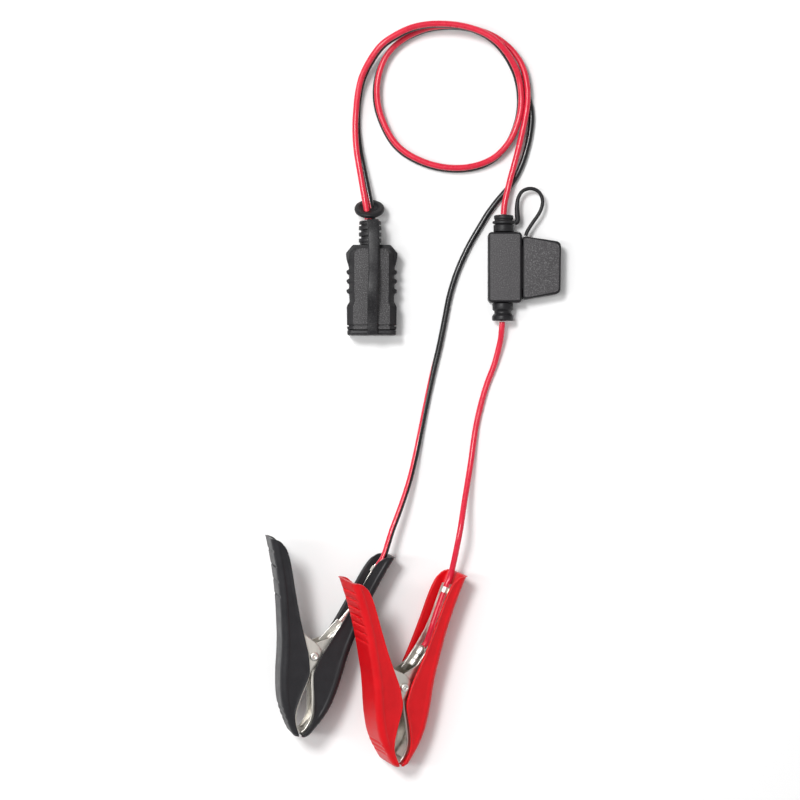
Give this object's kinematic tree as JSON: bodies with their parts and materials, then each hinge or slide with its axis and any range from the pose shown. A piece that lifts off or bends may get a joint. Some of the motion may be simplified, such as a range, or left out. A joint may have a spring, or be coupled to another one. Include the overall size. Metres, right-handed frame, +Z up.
{
  "type": "battery clamp lead",
  "caption": "Clamp lead of a car battery charger: a capped quick connector, a twin cable with an inline blade fuse holder, and a black and a red sprung clamp",
  "frame": {"origin": "on the surface that the lead lies on, under the centre of the box round the connector, the fuse holder and the clamps", "axes": "+Z is up off the surface; +Y runs from the clamps towards the connector and the cable's loop; +X runs towards the fuse holder's cap"},
  "size_m": [0.1611, 0.4051, 0.0505],
  "materials": {
    "connector_plastic": "fine-grained moulded black plastic",
    "boot_rubber": "smooth soft black moulding",
    "carrier_plastic": "plain black plastic",
    "holder_plastic": "fine-grained moulded dark grey plastic",
    "fuse_plastic": "clear-edged blue plastic",
    "contact_brass": "bright",
    "tinned_metal": "tinned",
    "clamp_steel": "zinc-plated sheet and wire",
    "black_cover_plastic": "satin black",
    "red_cover_plastic": "satin red",
    "red_cable_pvc": "smooth flexible insulation",
    "black_cable_pvc": "smooth flexible insulation"
  },
  "bodies": {
    "lead": {"black_cover_fixed": "black_cover_plastic", "black_jaw_fixed": "clamp_steel", "black_pivot_rivet": "clamp_steel", "black_spring": "clamp_steel", "black_wire_crimp": "tinned_metal", "cable_black": "black_cable_pvc", "cable_red_lead": "red_cable_pvc", "cable_red_twin": "red_cable_pvc", "cap_ring": "boot_rubber", "cap_strap": "boot_rubber", "connector_body": "connector_plastic", "connector_strain_relief": "boot_rubber", "contact_carrier": "carrier_plastic", "contact_negative": "contact_brass", "contact_positive": "contact_brass", "fuse_body": "fuse_plastic", "fuse_cap_tether": "boot_rubber", "fuse_holder_body": "holder_plastic", "fuse_holder_lower_boot": "boot_rubber", "fuse_holder_upper_boot": "boot_rubber", "fuse_link": "tinned_metal", "fuse_terminal_lower": "tinned_metal", "fuse_terminal_upper": "tinned_metal", "red_cover_fixed": "red_cover_plastic", "red_jaw_fixed": "clamp_steel", "red_pivot_rivet": "clamp_steel", "red_spring": "clamp_steel", "red_wire_crimp": "tinned_metal"},
    "black_moving_half": {"black_cover_moving": "black_cover_plastic", "black_jaw_moving": "clamp_steel"},
    "red_moving_half": {"red_cover_moving": "red_cover_plastic", "red_jaw_moving": "clamp_steel"},
    "connector_cap": {"connector_cap": "boot_rubber"},
    "fuse_cap": {"fuse_cap": "holder_plastic"}
  },
  "joints": [
    {"name": "black_clamp_hinge", "type": "hinge", "parent": "lead", "child": "black_moving_half", "pos_m": [-0.0555, -0.0968, 0.01695], "axis": [-0.2436, 0.0601, -0.968], "range_deg": [0, 40], "stiffness_Nm_per_rad": 0.5, "springref_deg": -51.57, "deforming": ["black_spring"]},
    {"name": "red_clamp_hinge", "type": "hinge", "parent": "lead", "child": "red_moving_half", "pos_m": [-0.0087, -0.1128, 0.01771], "axis": [-0.4701, 0.1471, -0.8703], "range_deg": [0, 40], "stiffness_Nm_per_rad": 0.5, "springref_deg": -51.57, "deforming": ["red_spring"]},
    {"name": "connector_cap_pull", "type": "slide", "parent": "lead", "child": "connector_cap", "axis": [0, -1, 0], "range_m": [0, 0.012], "deforming": ["cap_strap"]},
    {"name": "fuse_cap_pull", "type": "slide", "parent": "lead", "child": "fuse_cap", "axis": [1, 0, 0], "range_m": [0, 0.018], "deforming": ["fuse_cap_tether"]}
  ]
}
